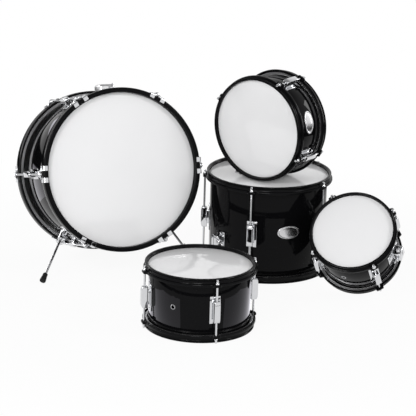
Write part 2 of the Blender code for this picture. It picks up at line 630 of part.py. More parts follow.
def build():
    clear_scene()
    floor_first, top_first, side_first, front_first, bass_first = 52.5, 25.5, 51.6, 162.5, 31.2
    floor = Drum("floor_tom", FLOOR_RADIUS, FLOOR_HEIGHT, TOM_WALL, 5, floor_first, FLOOR_FACETS,
                 RIM_RISE, place((0, 0), 0, 90, 0))
    front_place = (FRONT_ACROSS, -FLOOR_RADIUS - TEN_INCH_RADIUS - FRONT_GAP)
    front = Drum("front_drum", TEN_INCH_RADIUS, FRONT_HEIGHT, TOM_WALL, 4, front_first, TEN_INCH_FACETS,
                 RIM_RISE, place(front_place, 0, 90, 0))
    flange, ear = TEN_INCH_RADIUS + HOOP_FLANGE, TEN_INCH_RADIUS + HOOP_EAR
    rest = (FLOOR_HEIGHT - RIM_RISE + CLEAR
            + max(lowest_reach(4, top_first, TEN_INCH_FACETS, TEN_INCH_RADIUS, flange, ear),
                  lowest_lug(4, top_first, TEN_INCH_RADIUS)))
    top = Drum("top_tom", TEN_INCH_RADIUS, TOP_HEIGHT, TOM_WALL, 4, top_first, TEN_INCH_FACETS, RIM_RISE,
               place(TOP_PLACE, TOP_TURN, 0, rest))
    lip = EIGHT_INCH_RADIUS + HOOP_LIP
    side_z = (lowest_reach(4, side_first, EIGHT_INCH_FACETS, EIGHT_INCH_RADIUS, lip)
              * math.cos(math.radians(SIDE_LEAN)))
    reach = FLOOR_RADIUS + LUG_STANDOFF + LUG_DEPTH + SIDE_GAP
    bearing = math.radians(SIDE_BEARING)
    side = Drum("side_tom", EIGHT_INCH_RADIUS, SIDE_HEIGHT, TOM_WALL, 4, side_first, EIGHT_INCH_FACETS,
                RIM_RISE, place((reach * math.cos(bearing), reach * math.sin(bearing)), SIDE_TURN,
                                SIDE_LEAN, side_z))
    hoop = BASS_RADIUS + BASS_HOOP_OUTER
    bass_z = (lowest_reach(6, bass_first, BASS_FACETS, BASS_RADIUS, hoop)
              * math.cos(math.radians(BASS_LEAN)))
    bass_place = (-FLOOR_RADIUS - BASS_RADIUS - BASS_GAP, BASS_BACK)
    bass = Drum("bass", BASS_RADIUS, BASS_HEIGHT, BASS_WALL, 6, bass_first, BASS_FACETS,
                BASS_RIM_RISE, place(bass_place, BASS_TURN, BASS_LEAN, bass_z))

    make_tom(floor, *make_leg_brackets(floor))
    make_tom(front)
    make_tom(top, *make_tom_mount(top, TOP_MOUNT_CLOCK))
    make_tom(side, *make_tom_mount(side, SIDE_MOUNT_CLOCK))

    joined, cut = make_tom_holder(bass)
    for hand, clock, foot in zip(("left", "right"), SPUR_CLOCKS, SPUR_FEET):
        foot = kit_point(bass_place[0] + foot[0], bass_place[1] + foot[1])
        spur_joined, spur_cut = make_spur(bass, hand, clock, foot)
        joined += spur_joined
        cut += spur_cut
    make_shell(bass, joined, cut)
    flesh_outer = bass.radius + BASS_HOOP_STEP - 2 * CLEAR
    for at_head, side in ((True, "front"), (False, "rear")):
        make_head(bass, f"bass_{side}_head", at_head, BASS_PRESS + CLEAR, BASS_HOOP_INNER, flesh_outer)
        make_bass_hoop(bass, f"bass_{side}_hoop", at_head)
    make_bass_lugs(bass)


build()
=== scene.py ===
import math
from collections import namedtuple

import bmesh
import bpy
from mathutils import Matrix, Vector


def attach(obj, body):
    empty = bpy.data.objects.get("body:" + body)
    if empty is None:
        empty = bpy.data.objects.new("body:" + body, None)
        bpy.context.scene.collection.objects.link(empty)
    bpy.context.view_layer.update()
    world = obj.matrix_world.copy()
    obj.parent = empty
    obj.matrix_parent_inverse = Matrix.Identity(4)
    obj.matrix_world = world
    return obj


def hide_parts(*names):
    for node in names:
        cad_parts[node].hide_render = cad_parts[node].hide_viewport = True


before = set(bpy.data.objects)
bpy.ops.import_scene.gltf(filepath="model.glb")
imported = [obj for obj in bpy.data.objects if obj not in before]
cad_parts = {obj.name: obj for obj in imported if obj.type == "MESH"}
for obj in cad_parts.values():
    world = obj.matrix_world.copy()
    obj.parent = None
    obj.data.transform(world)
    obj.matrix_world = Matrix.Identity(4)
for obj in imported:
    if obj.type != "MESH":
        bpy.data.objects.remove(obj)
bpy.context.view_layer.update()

# Places of the drums, as in the CAD, in metres and degrees

CLEAR = 0.0003                              # gap between parts that seat on one another
KIT = Vector((0.17056, 0.18946, 0.0))       # foot of the floor tom's axis, which the drums are placed from
TOM_WALL, TOM_RISE = 0.0055, 0.0085         # a rise is how deep a head lies inside the rim
BASS_WALL, BASS_RISE = 0.0065, 0.0160
Drum = namedtuple("Drum", "name radius height wall lugs first_lug rise matrix hoops heads")


def facing(turn, lean):
    """Axes of a drum that looks turn degrees to the right of the viewer and lean degrees up."""
    turn, lean = math.radians(turn), math.radians(lean)
    axis = Vector((math.cos(lean) * math.sin(turn), -math.cos(lean) * math.cos(turn), math.sin(lean)))
    across = Vector((math.cos(turn), math.sin(turn), 0.0))
    return Matrix((across, axis.cross(across), axis)).transposed().to_4x4()


def place(x, y, z, turn, lean):
    return Matrix.Translation(KIT + Vector((x, y, z))) @ facing(turn, lean)


TOM_ENDS = (("top_hoop", "bottom_hoop"), ("batter_head", "bottom_head"))
BASS_ENDS = (("front_hoop", "rear_hoop"), ("front_head", "rear_head"))
FLOOR = Drum("floor_tom", 0.1570, 0.2660, TOM_WALL, 5, 52.5, TOM_RISE,
             place(0, 0, 0, 0, 90), *TOM_ENDS)
FRONT = Drum("front_drum", 0.1278, 0.1650, TOM_WALL, 4, 162.5, TOM_RISE,
             place(-0.1766, -0.4782, 0, 0, 90), *TOM_ENDS)
TOP = Drum("top_tom", 0.1278, 0.1275, TOM_WALL, 4, 25.5, TOM_RISE,
           place(0.0353, 0.0199, 0.39938, -36.9, 0), *TOM_ENDS)
SIDE = Drum("side_tom", 0.1020, 0.1550, TOM_WALL, 4, 51.6, TOM_RISE,
            place(0.2436, -0.1498, 0.07957, -16.45, 43.43), *TOM_ENDS)
BASS = Drum("bass", 0.2030, 0.2705, BASS_WALL, 6, 31.2, BASS_RISE,
            place(-0.4836, 0.1494, 0.20933, 21.6, 15.8), *BASS_ENDS)
VENTS = ((FLOOR, 271.5), (FRONT, 210.0), (TOP, 160.5), (SIDE, 187.5), (BASS, 61.2))

# Sizes of the fittings. A tom hoop's radii and sizes that end in OUT are measured from a shell's face

SHELL_SIDES, FILM_SIDES, RING_SIDES, BASS_HOOP_SIDES = 180, 128, 96, 200
FILM_THICK = 0.0005
HOOP_INNER, HOOP_LIP, HOOP_NECK, HOOP_WALL, HOOP_EAR = 0.0033, 0.0102, 0.0070, 0.0137, 0.0204
HOOP_SHOULDER, HOOP_HEIGHT, HOOP_SHEET = 0.0132, 0.0200, 0.0019
SIDE_TOM_SLIM = 0.0015                      # keeps the side tom's hoops inside the CAD's box
EAR_HALF = 0.0085                           # half the width of the swelling round a rod
EAR_FADE, HOOP_STEP = 0.6, 2.5              # share of that half where it fades out, and degrees a section
BASS_HOOP_INNER, BASS_HOOP_OUT, BASS_HOOP_BAND = 0.0020, 0.0146, 0.0300

LUG_OUT, LUG_DEPTH, LUG_WIDTH, LUG_HEIGHT = 0.0068, 0.0166, 0.0150, 0.0550
LUG_SINK, LUG_PLATE, LUG_PIT = 0.0004, 0.0024, 0.0056
LUG_PLATE_HALF, LUG_NECK_HALF = (0.0135, 0.0350), (0.0055, 0.019)
BASS_LUG_DEPTH = 0.0200
ROD_OUT, ROD_RADIUS = 0.0148, 0.0026
BASS_ROD_OUT, BASS_ROD_RADIUS, BASS_ROD_END = 0.0205, 0.0027, 0.0170
CLAW_SHEET, CLAW_FINGER, CLAW_APART, CLAW_BEND = 0.0022, 0.0130, 0.0155, 0.0025

CLAMP_OUT, CLAMP_PLATE, CLAMP_SINK = 0.0250, 0.0030, 0.0008
CLAMP_WALL, CLAMP_HALF_SLIT = 0.0030, 0.0009
Clamp = namedtuple("Clamp", "base block hole screw_inset")
LEG_CLAMP = Clamp((0.032, 0.046), (0.023, 0.030), 0.0055, 0.0055)
ARM_CLAMP = Clamp((0.064, 0.046), (0.028, 0.034), 0.0062, 0.0070)
LEG_CLAMP_HEIGHT, LEG_CLOCKS = 0.0980, (232.5, 112.5, 352.5)
ARM_CLOCKS = ((TOP, 250.5), (SIDE, 96.6))
WING_TILT = (0.6, 0, 1)                     # the way that a clamp screw's wings spread

HOLDER_CLOCK, HOLDER_HEIGHT, HOLDER_OUT = 2.0, 0.1380, 0.0280
HOLDER_BORE, HOLDER_HALF_SLIT = 0.0112, 0.0011
HOLDER_HALF_WIDE, HOLDER_HALF_TALL, HOLDER_SCREW_OUT = 0.022, 0.025, 0.01736
FOOT_PLATE_SINK, FOOT_PLATE = 0.0012, 0.0030

SPUR_GRIP_OUT, SPUR_GRIP_HEIGHT = 0.0190, 0.1650
# Radii of a spur's round parts
SPUR_ROD, SPUR_TUNNEL, SPUR_NECK, SPUR_SLEEVE, SPUR_RUBBER = 0.0034, 0.0037, 0.0072, 0.0084, 0.0082
# Lengths along its rod, and half the size of its plate
SPUR_SLEEVE_HALF, SPUR_TUNNEL_HALF, SPUR_ROD_BACK, SPUR_PLATE_HALF = 0.0140, 0.0300, 0.0300, (0.016, 0.023)
SPUR_RUBBER_LENGTH, SPUR_ROD_IN_RUBBER = 0.0260, 0.0200
SPUR_SCREW_LEAN = 0.45                      # how far its wing screw leans away from the shell
# Hand, clock, and where the rod's line meets the floor
SPURS = (("left", 222.5, (-0.5940, -0.2225)), ("right", 137.5, (-0.1790, -0.0520)))

VENT_RADIUS, VENT_CUT = 0.0045, 0.03
BADGE_HALF_WIDE, BADGE_HALF_TALL = 0.0310, 0.0175
BADGES = ((FLOOR, 160.5, 0.139), (TOP, 76.5, TOP.height / 2))
WELD = 1e-6


# Mesh helpers

def clock_turn(clock):
    """Turn what is built along +X to a clock angle: 0 is +Y and 90 is +X."""
    return Matrix.Rotation(math.radians(90.0 - clock), 4, "Z")


def ray(clock):
    angle = math.radians(clock)
    return Vector((math.sin(angle), math.cos(angle), 0.0))


def even(count):
    return [k * 360.0 / count for k in range(count)]


def around(middle, half):
    return middle - half, middle + half


def aimed(direction):
    """Rotation that takes +Z to a direction."""
    return Vector((0, 0, 1)).rotation_difference(Vector(direction)).to_matrix().to_4x4()


def lug_clocks(drum):
    return [drum.first_lug + k * 360.0 / drum.lugs for k in range(drum.lugs)]


def height_from(drum, at_head):
    """Gives what turns a depth inside the rim at one end into a height along the drum."""
    return (lambda depth: drum.height - depth) if at_head else (lambda depth: depth)


def closed(points, faces):
    mesh = bpy.data.meshes.new("part")
    mesh.from_pydata(points, [], faces)
    work = bmesh.new()
    work.from_mesh(mesh)
    bmesh.ops.recalc_face_normals(work, faces=work.faces)
    work.to_mesh(mesh)
    work.free()
    return mesh


def lathe(profile, clocks, reach=None, solid=False):
    """Turn (radius, z) points round Z. solid closes both ends flat; reach(point, clock) gives a radius."""
    points, faces, count = [], [], len(profile)
    for clock in clocks:
        out = ray(clock)
        for entry in profile:
            radius = reach(entry, clock) if reach else entry[0]
            points.append((out.x * radius, out.y * radius, entry[1]))
    turns = len(clocks)
    for turn in range(turns):
        here, there = turn * count, (turn + 1) % turns * count
        for k in range(count - 1 if solid else count):
            after = (k + 1) % count
            faces.append((here + k, here + after, there + after, there + k))
    if solid:
        faces.append([turn * count for turn in range(turns)])
        faces.append([turn * count + count - 1 for turn in range(turns)])
    return closed(points, faces)


def rounded(mesh, bevel, segments=2, sharp=25):
    """Round the edges that turn by more than sharp degrees."""
    if bevel:
        work = bmesh.new()
        work.from_mesh(mesh)
        edges = [e for e in work.edges if e.calc_face_angle(0) > math.radians(sharp)]
        bmesh.ops.bevel(work, geom=edges, offset=bevel, segments=segments, profile=0.5, affect="EDGES")
        work.to_mesh(mesh)
        work.free()
    return mesh


def between(first, second, bevel, segments):
    """A solid between two outlines of as many points, with rounded edges."""
    count = len(first)
    faces = [list(range(count)), list(range(count, 2 * count))]
    faces += [(k, (k + 1) % count, count + (k + 1) % count, count + k) for k in range(count)]
    return rounded(closed(first + second, faces), bevel, segments)


def extruded(outline, width, bevel=0.0, shift=0.0, segments=2):
    """A solid across Y from (x, z) points."""
    ends = [[(x, y, z) for x, z in outline] for y in around(shift, width / 2)]
    return between(*ends, bevel, segments)


def slab(outline, low, high, bevel=0.0, segments=2):
    """A solid between two heights from (x, y) points."""
    ends = [[(x, y, z) for x, y in outline] for z in (low, high)]
    return between(*ends, bevel, segments)


def span(x, y, z, bevel=0.0, segments=2):
    """A box that reaches from one value to another on each axis."""
    return extruded([(x[0], z[0]), (x[1], z[0]), (x[1], z[1]), (x[0], z[1])], y[1] - y[0], bevel,
                    (y[0] + y[1]) / 2, segments)


def curved_plate(radius, thick, sink, width, low, high, bevel, steps=16):
    """A plate that follows a shell round, with its back sunk into the shell."""
    half = width / 2 / radius
    angles = [-half + 2 * half * k / steps for k in range(steps + 1)]
    outline = [(r * math.cos(a), r * math.sin(a))
               for r, turn in ((radius + thick, angles), (radius - sink, angles[::-1])) for a in turn]
    return slab(outline, low, high, bevel)


def turned(profile, start, along, sides=32):
    """A round piece from (radius, distance) points, placed at start and running along a direction."""
    mesh = lathe(profile, even(sides), solid=True)
    mesh.transform(Matrix.Translation(start) @ aimed(Vector(along).normalized()))
    return mesh


def rod(start, end, radius, sides=24):
    start, end = Vector(start), Vector(end)
    length, tip = (end - start).length, radius * 0.25
    return turned([(radius - tip, 0), (radius, tip), (radius, length - tip), (radius - tip, length)],
                  start, end - start, sides)


def joined(meshes):
    work = bmesh.new()
    for mesh in meshes:
        work.from_mesh(mesh)
    mesh = bpy.data.meshes.new("joined")
    work.to_mesh(mesh)
    work.free()
    return mesh


def carved(mesh, cutters):
    """Cut meshes out of a mesh and weld the slivers that this leaves."""
    body = bpy.data.objects.new("work", mesh)
    bpy.context.collection.objects.link(body)
    tools = []
    for cutter in cutters:
        tool = bpy.data.objects.new("tool", cutter)
        bpy.context.collection.objects.link(tool)
        step = body.modifiers.new("cut", "BOOLEAN")
        step.operation, step.solver, step.object = "DIFFERENCE", "EXACT", tool
        tools.append(tool)
    result = bpy.data.meshes.new_from_object(body.evaluated_get(bpy.context.evaluated_depsgraph_get()))
    for spent in [body, *tools]:
        bpy.data.objects.remove(spent, do_unlink=True)
    work = bmesh.new()
    work.from_mesh(result)
    bmesh.ops.remove_doubles(work, verts=work.verts, dist=WELD)
    bmesh.ops.dissolve_degenerate(work, edges=work.edges, dist=WELD)
    work.to_mesh(result)
    work.free()
    return result


def piece(name, mesh, material, body, matrix, nodes=(), sharp=32):
    """Make a visible piece; its place goes into its mesh."""
    thing = bpy.data.objects.new(name, mesh)
    bpy.context.collection.objects.link(thing)
    mesh.materials.clear()
    mesh.materials.append(material)
    mesh.transform(matrix)
    mesh.shade_smooth()
    mesh.set_sharp_from_angle(angle=math.radians(sharp))
    if nodes:
        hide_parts(*nodes)
    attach(thing, body)


# Materials. A grain is the scale of a noise, in features a metre

DRIFT_DETAIL, BUMP_DETAIL, BUMP_HEIGHT = 4.0, 2.0, 0.0002


def new_material(name):
    made = bpy.data.materials.new(name)
    made.use_nodes = True
    nodes, links = made.node_tree.nodes, made.node_tree.links
    return made, nodes, links, nodes["Principled BSDF"]


def noise(nodes, links, scale, detail, stretch=None):
    """Noise in object space."""
    where = nodes.new("ShaderNodeTexCoord").outputs["Object"]
    if stretch:
        mapping = nodes.new("ShaderNodeMapping")
        mapping.inputs["Scale"].default_value = stretch
        links.new(where, mapping.inputs["Vector"])
        where = mapping.outputs["Vector"]
    texture = nodes.new("ShaderNodeTexNoise")
    texture.inputs["Scale"].default_value = scale
    texture.inputs["Detail"].default_value = detail
    links.new(where, texture.inputs["Vector"])
    return texture.outputs["Fac"]


def roughened(nodes, links, shader, value, low, high):
    spread = nodes.new("ShaderNodeMapRange")
    spread.inputs["To Min"].default_value = low
    spread.inputs["To Max"].default_value = high
    links.new(value, spread.inputs["Value"])
    links.new(spread.outputs["Result"], shader.inputs["Roughness"])


def tinted(nodes, links, shader, value, dark, light):
    mix = nodes.new("ShaderNodeMix")
    mix.data_type = "RGBA"
    share, first, second, result = mix.inputs[0], mix.inputs[6], mix.inputs[7], mix.outputs[2]
    first.default_value = (*dark, 1)
    second.default_value = (*light, 1)
    links.new(value, share)
    links.new(result, shader.inputs["Base Color"])


def bumped(nodes, links, shader, strength, grain):
    bump = nodes.new("ShaderNodeBump")
    bump.inputs["Strength"].default_value = strength
    bump.inputs["Distance"].default_value = BUMP_HEIGHT
    links.new(noise(nodes, links, grain, BUMP_DETAIL), bump.inputs["Height"])
    links.new(bump.outputs["Normal"], shader.inputs["Normal"])


def finish(name, dark, light, rough, grain, metallic=0.0, specular=0.5, bump=None, stretch=None):
    """Colour and roughness that drift a little over the surface, and a bump of (strength, grain)."""
    made, nodes, links, shader = new_material(name)
    shader.inputs["Metallic"].default_value = metallic
    shader.inputs["Specular IOR Level"].default_value = specular
    drift = noise(nodes, links, grain, DRIFT_DETAIL, stretch)
    roughened(nodes, links, shader, drift, *rough)
    tinted(nodes, links, shader, drift, dark, light)
    if bump:
        bumped(nodes, links, shader, *bump)
    return made


LACQUER = finish("black_lacquer", (0.0022, 0.0022, 0.0026), (0.004, 0.004, 0.0045), (0.02, 0.04), 9.0,
                 specular=0.07, bump=(0.01, 45.0))
HOOP_PAINT = finish("black_hoop_paint", (0.003, 0.003, 0.0034), (0.005, 0.005, 0.0055), (0.12, 0.18), 30.0,
                    specular=0.07, bump=(0.05, 700.0))
WOOD_PAINT = finish("black_wood_hoop_paint", (0.003, 0.003, 0.0034), (0.005, 0.005, 0.0055), (0.12, 0.18),
                    25.0, specular=0.05, bump=(0.06, 160.0))
FILM = finish("coated_head_film", (0.79, 0.79, 0.80), (0.82, 0.82, 0.825), (0.07, 0.11), 7.0,
              specular=0.6, bump=(0.02, 1500.0))
CHROME = finish("chrome_plating", (0.60, 0.605, 0.62), (0.68, 0.685, 0.70), (0.05, 0.09), 70.0,
                metallic=1.0, bump=(0.015, 90.0))
SATIN = finish("satin_chrome", (0.72, 0.72, 0.73), (0.78, 0.78, 0.79), (0.30, 0.36), 20.0,
               metallic=1.0, bump=(0.01, 300.0))
SPUR = finish("spur_rod_chrome", (0.38, 0.38, 0.39), (0.43, 0.43, 0.44), (0.24, 0.30), 20.0,
              metallic=1.0, bump=(0.01, 300.0))
BADGE = finish("chrome_badge", (0.58, 0.58, 0.59), (0.66, 0.66, 0.67), (0.20, 0.28), 120.0,
               metallic=1.0, stretch=(1, 1, 6))
RUBBER = finish("black_rubber", (0.006, 0.006, 0.006), (0.010, 0.010, 0.010), (0.55, 0.70), 90.0,
                specular=0.15, bump=(0.25, 900.0))
EYELET = finish("vent_eyelet_metal", (0.30, 0.30, 0.31), (0.40, 0.40, 0.41), (0.22, 0.30), 120.0,
                metallic=1.0)
RING = finish("flesh_ring", (0.45, 0.45, 0.46), (0.55, 0.55, 0.56), (0.30, 0.36), 60.0, metallic=1.0)


# Shells, heads and hoops

def shell_mesh(drum, cutters):
    """Wooden tube with a bevelled bearing edge at each end."""
    edge = drum.rise + FILM_THICK + CLEAR
    inner, bevel, soften = drum.radius - drum.wall, 0.0025, 0.0008
    low, high = edge, drum.height - edge
    profile = [(drum.radius, low + bevel), (drum.radius, high - bevel),
               (drum.radius - soften, high - bevel * 0.4), (drum.radius - bevel, high), (inner, high),
               (inner, low), (drum.radius - bevel, low), (drum.radius - soften, low + bevel * 0.4)]
    return carved(lathe(profile, even(SHELL_SIDES)), cutters)


def head_meshes(drum, at_head, press, inner, ring_out):
    """Film with its collar, and the ring round it. press is how far the collar reaches down."""
    height = height_from(drum, at_head)
    edge, top, collar = drum.radius + inner - 2 * CLEAR, drum.rise, drum.radius + 2 * CLEAR
    low, cap, outer, ring_height = top + press, 0.02, drum.radius + ring_out, 0.0065
    film = [(cap, top), (edge - 0.0018, top), (edge - 0.0005, top + 0.0004), (edge, top + 0.0016),
            (edge, low), (collar, low + 0.004), (collar, top + 0.0006), (cap, top + FILM_THICK)]
    ring = [(outer, low + CLEAR), (outer, low + ring_height), (edge, low + ring_height),
            (edge, low + CLEAR)]
    return (lathe([(r, height(depth)) for r, depth in film], even(FILM_SIDES), solid=True),
            lathe([(r, height(depth)) for r, depth in ring], even(RING_SIDES)))


def ear_clocks(drum):
    """Clocks of the hoop's sections, close together where it swells round a rod."""
    half = math.degrees(EAR_HALF / (drum.radius + HOOP_EAR))
    fade, steps = half * EAR_FADE, 6
    clocks = []
    for centre in lug_clocks(drum):
        clocks += [centre - half - fade + fade * k / steps for k in range(steps)]
        clocks += [centre - half + 2 * half * k / steps for k in range(steps)]
        clocks += [centre + half + fade * k / steps for k in range(steps + 1)]
        gap = 360.0 / drum.lugs - 2 * (half + fade)
        count = int(gap / HOOP_STEP)
        clocks += [centre + half + fade + gap * k / count for k in range(1, count)]
    return clocks, half, fade


def tom_hoop_mesh(drum, at_head):
    """Rolled lip, neck, shoulder, and a short outer wall that swells round each rod.

    Points are (distance out from the shell, depth inside the rim); a third value marks those that swell.
    """
    slim = SIDE_TOM_SLIM if drum is SIDE else 0.0
    lip, wall, neck, inner = HOOP_LIP - slim, HOOP_WALL - slim, HOOP_NECK, HOOP_INNER
    shoulder, low, under = HOOP_SHOULDER, HOOP_HEIGHT, HOOP_SHOULDER + HOOP_SHEET
    back = wall - HOOP_SHEET
    section = [(inner, 0.0014), (inner + 0.0004, 0.0005), (inner + 0.0014, 0.0), (lip - 0.0020, 0.0),
               (lip - 0.0008, 0.0004), (lip, 0.0016), (lip - 0.0001, 0.0028), (lip - 0.0009, 0.0038),
               (neck + 0.0008, 0.0048), (neck, 0.0062), (neck + 0.0001, shoulder - 0.0022),
               (neck + 0.0012, shoulder - 0.0004), (neck + 0.0026, shoulder), (wall - 0.0018, shoulder, 1),
               (wall - 0.0006, shoulder + 0.0004, 1), (wall, shoulder + 0.0017, 1), (wall, low - 0.0012, 1),
               (wall - 0.0005, low - 0.0002, 1), (wall - 0.0012, low, 1), (back, low - 0.0006, 1),
               (back, under + 0.0006, 1), (back - 0.0008, under, 1), (neck + 0.0014, under),
               (neck, under - 0.0010), (inner + 0.0002, under - 0.0024), (inner, under - 0.0034)]
    clocks, half, fade = ear_clocks(drum)
    centres = lug_clocks(drum)

    def reach(entry, clock):
        if len(entry) == 2:
            return entry[0]
        away = min(abs((clock - centre + 180) % 360 - 180) for centre in centres)
        share = min(1.0, max(0.0, (half + fade - away) / fade))
        share = share * share * (3 - 2 * share)
        return entry[0] + (HOOP_EAR - wall) * share

    height = height_from(drum, at_head)
    profile = [(drum.radius + out, height(depth), *swells) for out, depth, *swells in section]
    return lathe(profile, clocks, reach)


def bass_hoop_mesh(drum, at_head):
    """Wooden band with rounded corners and a step that presses on the flesh ring."""
    height, press, inside, inner = height_from(drum, at_head), 0.0182, 0.0088, BASS_HOOP_INNER
    out, band = BASS_HOOP_OUT, BASS_HOOP_BAND
    section = [(inner, 0.0012), (inner + 0.0004, 0.0004), (inner + 0.0012, 0.0), (out - 0.0030, 0.0),
               (out - 0.0016, 0.0005), (out - 0.0005, 0.0016), (out, 0.0030), (out, band - 0.0022),
               (out - 0.0006, band - 0.0007), (out - 0.0020, band), (inside + 0.0006, band),
               (inside, band - 0.0006), (inside, press), (inner, press)]
    return lathe([(drum.radius + r, height(depth)) for r, depth in section], even(BASS_HOOP_SIDES))


# Lugs, rods and claws

def lug_body(drum, depth, rod_out):
    """Plate, neck, and a tall casing with a pit at each end that holds the rod's nut."""
    seat, inner, rod_x = drum.radius - LUG_SINK, drum.radius + LUG_OUT, drum.radius + rod_out
    outer, half, middle = inner + depth, LUG_HEIGHT / 2, drum.height / 2
    plate = span((seat, seat + LUG_PLATE), around(0, LUG_PLATE_HALF[0]), around(middle, LUG_PLATE_HALF[1]),
                 0.0007)
    neck = span((seat + 0.0012, inner + 0.003), around(0, LUG_NECK_HALF[0]),
                around(middle, LUG_NECK_HALF[1]), 0.0015)
    upper = [(outer, half - 0.0140), (outer - 0.0006, half - 0.0060), (outer - 0.0030, half), (inner, half)]
    outline = [(x, middle - z) for x, z in upper[::-1]] + [(x, middle + z) for x, z in upper]
    casing = extruded(outline, LUG_WIDTH, 0.0012, segments=3)
    pits, nuts, screws = [], [], []
    for sign in (-1, 1):
        pits.append(turned([(LUG_PIT, 0), (LUG_PIT, 0.01)], (rod_x, 0, middle + sign * (half - 0.0032)),
                           (0, 0, sign), 28))
        nuts.append(turned([(0.0044, 0), (0.0044, 0.0022), (0.0037, 0.0032)],
                           (rod_x, 0, middle + sign * (half - 0.0040)), (0, 0, sign)))
        screws.append(turned([(0.0028, 0), (0.0026, 0.0010), (0.0016, 0.0016)],
                             (seat + 0.0022, 0, middle + sign * 0.0315), (1, 0, 0), 20))
    return [plate, neck, carved(casing, pits), *nuts, *screws]


def tom_lug_mesh(drum):
    """Lug with two rods, each with a flanged head and a square key end."""
    parts = lug_body(drum, LUG_DEPTH, ROD_OUT)
    out, middle = drum.radius + ROD_OUT, drum.height / 2
    seat, key_half = HOOP_SHOULDER - CLEAR, 0.0027
    flange = [(0.0050, 0), (0.0054, 0.0005), (0.0054, 0.0014), (0.0045, 0.0022), (0.0037, 0.0036),
              (0.0031, 0.0054)]
    for sign, end in ((1, drum.height - seat), (-1, seat)):
        foot = middle + sign * (LUG_HEIGHT / 2 - 0.004)
        parts.append(rod((out, 0, foot), (out, 0, end + sign * 0.004), ROD_RADIUS))
        parts.append(turned(flange, (out, 0, end), (0, 0, sign), 28))
        parts.append(span(around(out, key_half), around(0, key_half),
                          sorted((end + sign * 0.0048, end + sign * 0.0120)), 0.0006))
    return joined(parts)


def bent_strip(path, thickness, width, shift):
    """A strip of sheet metal that follows (x, z) points, with rounded edges."""
    left, right = [], []
    for k, point in enumerate(path):
        before, after = Vector(path[max(k - 1, 0)]), Vector(path[min(k + 1, len(path) - 1)])
        along = (after - before).normalized()
        side = Vector((-along.y, along.x)) * thickness / 2
        left.append(tuple(Vector(point) + side))
        right.append(tuple(Vector(point) - side))
    return extruded(left + right[::-1], width, 0.0004, shift, 1)


def arc(centre, radius, start, end, count=5):
    angles = [math.radians(start + (end - start) * k / count) for k in range(count + 1)]
    return [(centre[0] + radius * math.cos(angle), centre[1] + radius * math.sin(angle))
            for angle in angles]


def claw_parts(drum, at_head):
    """Two fingers that reach over the hoop, a bridge that the rod goes through, and the rod's head."""
    sign, rim = (1, drum.height) if at_head else (-1, 0.0)
    outer, out = drum.radius + BASS_HOOP_OUT + CLEAR, drum.radius + BASS_ROD_OUT
    mid, over, key_half = outer + CLAW_SHEET / 2, 0.0014, 0.003
    path = [(outer - 0.0108, over), (outer - 0.002, over)]
    path += arc((mid - CLAW_BEND, over - CLAW_BEND), CLAW_BEND, 90, 0)[1:]
    path += [(mid, -0.0190)]
    path = [(x, rim + sign * z) for x, z in path]
    parts = [bent_strip(path, CLAW_SHEET, CLAW_FINGER, side * CLAW_APART) for side in (-1, 1)]
    half_tongue = [(outer + 0.0007, 0.0155), (outer + 0.0022, 0.0155), (out + 0.0030, 0.0068),
                   (out + 0.0054, 0.0042)]
    tongue = [(x, -y) for x, y in half_tongue] + half_tongue[::-1]
    parts.append(slab(tongue, *sorted((rim - sign * 0.0156, rim - sign * 0.0178)), 0.0005))
    seat = rim - sign * 0.0158
    parts.append(turned([(0.0060, 0), (0.0062, 0.0010), (0.0050, 0.0020), (0.0040, 0.0024)],
                        (out, 0, seat), (0, 0, sign), 28))
    parts.append(span(around(out, key_half), around(0, key_half),
                      sorted((seat + sign * 0.0018, seat + sign * 0.0068)), 0.0006))
    return parts


def bass_lug_mesh(drum):
    parts = lug_body(drum, BASS_LUG_DEPTH, BASS_ROD_OUT)
    out = drum.radius + BASS_ROD_OUT
    parts.append(rod((out, 0, BASS_ROD_END), (out, 0, drum.height - BASS_ROD_END), BASS_ROD_RADIUS))
    return joined(parts + claw_parts(drum, True) + claw_parts(drum, False))


# Drums

Build = namedtuple("Build", "press inner ring_out hoop_mesh hoop_paint hoop_slot lug_mesh")
TOM_BUILD = Build(0.0043, HOOP_INNER, 0.0066, tom_hoop_mesh, HOOP_PAINT, "black_hoop", tom_lug_mesh)
BASS_BUILD = Build(0.0022, BASS_HOOP_INNER, 0.0082, bass_hoop_mesh, WOOD_PAINT, "black_wood_hoop",
                   bass_lug_mesh)


def vent_cut(drum, clock):
    out = ray(clock)
    start = out * (drum.radius - VENT_CUT / 2) + Vector((0, 0, drum.height / 2))
    return turned([(VENT_RADIUS, 0), (VENT_RADIUS, VENT_CUT)], start, out, 32)


def make_drum(drum, build, vent):
    name, matrix = drum.name, drum.matrix
    piece(name + "_wood_shell", shell_mesh(drum, [vent_cut(drum, vent)]), LACQUER, name,
          matrix, [name + "_shell"])
    for at_head, hoop, head in zip((True, False), drum.hoops, drum.heads):
        film, ring = head_meshes(drum, at_head, build.press, build.inner, build.ring_out)
        piece(f"{name}_{head}_film", film, FILM, name, matrix, [f"{name}_{head}"])
        piece(f"{name}_{head}_ring", ring, RING, name, matrix, [f"{name}_{head}"])
        piece(f"{name}_{hoop}_band", build.hoop_mesh(drum, at_head), build.hoop_paint,
              name, matrix, [f"{name}_{hoop}"])
    mesh = build.lug_mesh(drum)
    for number, clock in enumerate(lug_clocks(drum), 1):
        piece(f"{name}_lug_{number}_casing", mesh.copy(), CHROME, name,
              matrix @ clock_turn(clock), [f"{name}_lug_{number}"])


